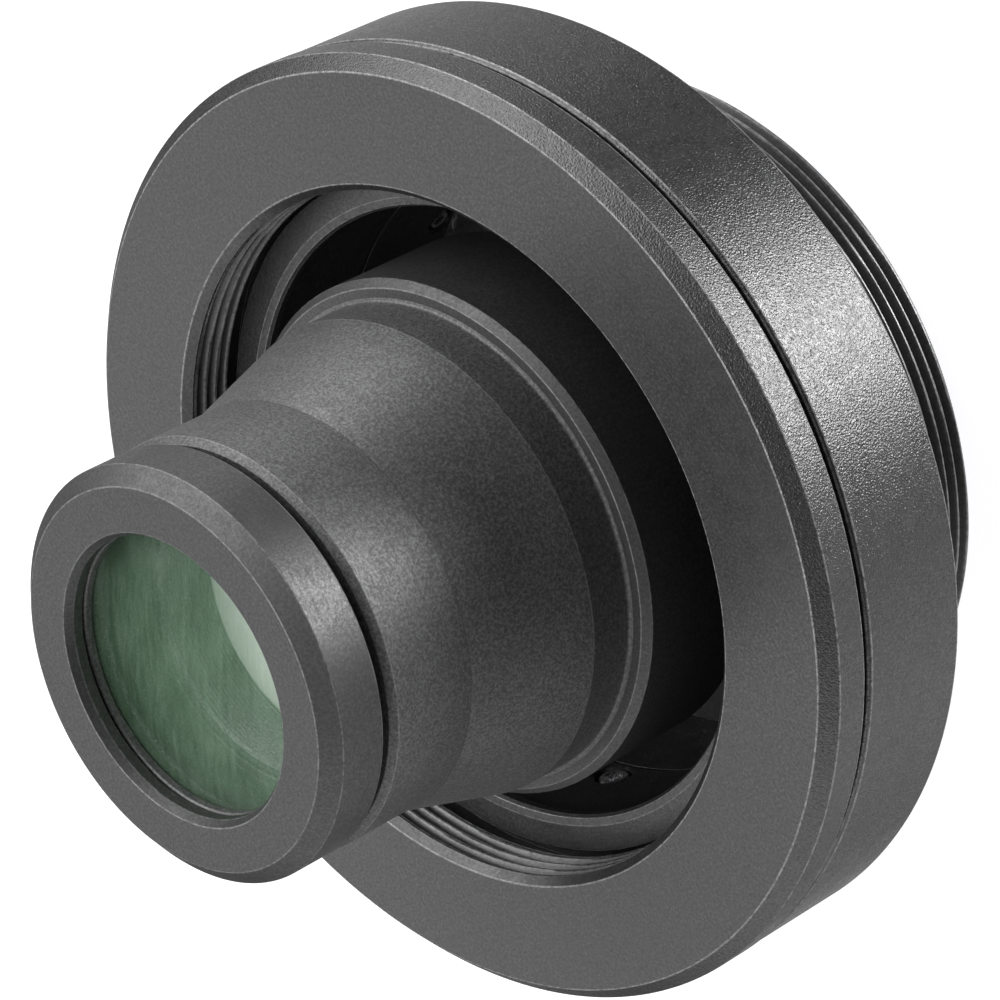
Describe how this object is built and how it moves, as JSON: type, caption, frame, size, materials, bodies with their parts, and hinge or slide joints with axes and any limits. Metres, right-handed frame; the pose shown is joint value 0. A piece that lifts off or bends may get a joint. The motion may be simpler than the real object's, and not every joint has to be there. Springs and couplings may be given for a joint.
{
  "type": "telescope focal reducer lens",
  "caption": "Round black focal reducer lens with a tapered lens nose, a wide captive coupling ring with a female thread in front and a male thread behind.",
  "frame": {"origin": "centre of the rear rim, on the plane that the part stands on", "axes": "+Z along the optical axis, out of the lens nose; the coupling ring's thread and the rear thread share that axis"},
  "size_m": [0.11, 0.11, 0.081],
  "materials": {
    "satin_anodise": "satin black anodised, fine turned",
    "blasted_anodise": "bead-blasted black anodised",
    "black_anodise": "matte black anodised",
    "baffle_black": "flat light-trap black",
    "screw_steel": "blackened steel, worn at the socket",
    "spring_steel": "bright spring steel",
    "slip_plastic": "white slip plastic",
    "coated_glass": "polished optical glass with a green anti-reflection coating"
  },
  "bodies": {
    "housing": {"rear_adapter": "black_anodise", "housing_body": "blasted_anodise", "clamp_sleeve": "black_anodise", "front_slip_washer": "slip_plastic", "rear_slip_washer": "slip_plastic", "wave_spring": "spring_steel", "cell_carrier": "black_anodise", "carrier_tube": "baffle_black", "rear_light_stop": "baffle_black", "rear_cell": "satin_anodise", "rear_flint_lens": "coated_glass", "rear_crown_lens": "coated_glass", "rear_lens_spacer": "baffle_black", "nose_tube": "satin_anodise", "middle_lens": "coated_glass", "middle_retaining_ring": "baffle_black", "second_lens": "coated_glass", "baffle_sleeve": "baffle_black", "front_flint_lens": "coated_glass", "front_crown_lens": "coated_glass", "front_retaining_ring": "baffle_black", "nose_cap": "satin_anodise", "sleeve_lock_screw_1": "screw_steel", "sleeve_lock_screw_2": "screw_steel", "sleeve_lock_screw_3": "screw_steel", "carrier_lock_screw_1": "screw_steel", "carrier_lock_screw_2": "screw_steel", "carrier_lock_screw_3": "screw_steel"},
    "coupling": {"coupling_ring": "satin_anodise"}
  },
  "joints": [
    {"name": "coupling_turn", "type": "hinge", "parent": "housing", "child": "coupling", "pos_m": [0, 0, 0.0345], "axis": [0, 0, 1], "continuous": true}
  ]
}
